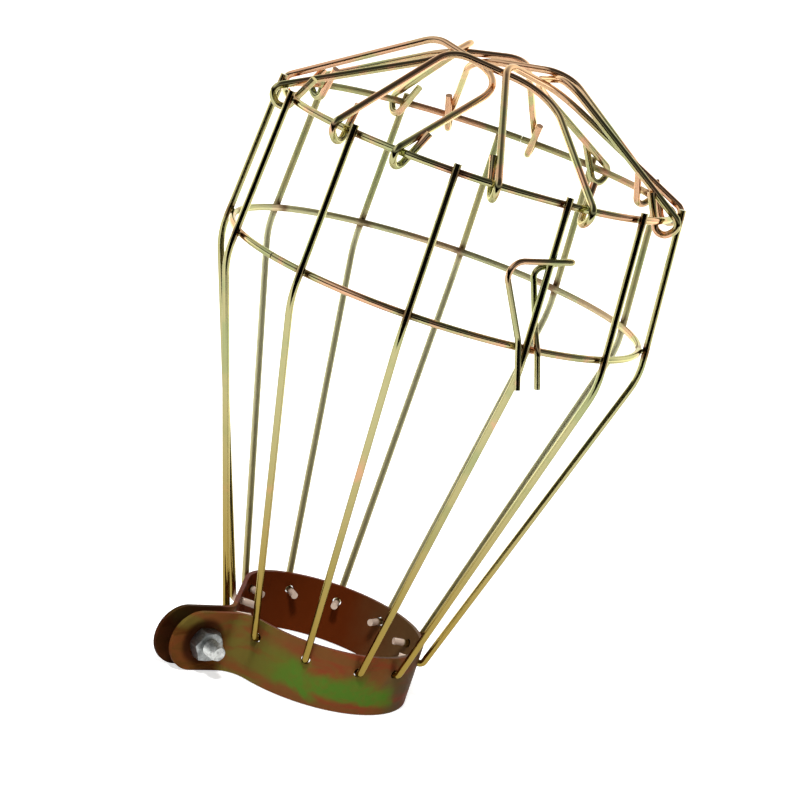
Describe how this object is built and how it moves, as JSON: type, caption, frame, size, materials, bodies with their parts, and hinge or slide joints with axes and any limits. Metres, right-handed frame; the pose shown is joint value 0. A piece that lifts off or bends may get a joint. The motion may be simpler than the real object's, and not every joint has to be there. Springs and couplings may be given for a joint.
{
  "type": "bulb cage guard",
  "caption": "Clamp-on wire cage that guards a lamp bulb: a split collar with a clamp bolt, bowed uprights welded to two rings, a domed cap of hooked wire arches and a small spring clip.",
  "frame": {"origin": "on the collar's axis, in the plane of its bottom rim", "axes": "+Z along the cage axis from the collar to the domed cap; -Y is the side the picture shows; the collar's ears point to -X -Y"},
  "size_m": [0.1055, 0.1054, 0.1565],
  "materials": {
    "wire_plating": "yellow passivated zinc, shiny with a pink and green tint",
    "collar_plating": "brown yellow-passivated zinc with green and red tints",
    "fastener_plating": "bright zinc"
  },
  "bodies": {
    "root": {"collar_strap": "collar_plating", "clamp_bolt": "fastener_plating", "clamp_nut": "fastener_plating", "middle_ring": "wire_plating", "top_ring": "wire_plating", "upright_01": "wire_plating", "upright_02": "wire_plating", "upright_03": "wire_plating", "upright_04": "wire_plating", "upright_05": "wire_plating", "upright_06": "wire_plating", "upright_07": "wire_plating", "upright_08": "wire_plating", "upright_09": "wire_plating", "upright_10": "wire_plating", "upright_11": "wire_plating", "upright_12": "wire_plating", "cap_wire_1": "wire_plating", "cap_wire_2": "wire_plating", "cap_wire_3": "wire_plating", "cap_wire_4": "wire_plating", "cap_wire_5": "wire_plating", "cap_wire_6": "wire_plating", "cap_wire_7": "wire_plating", "spring_clip": "wire_plating"}
  },
  "joints": []
}
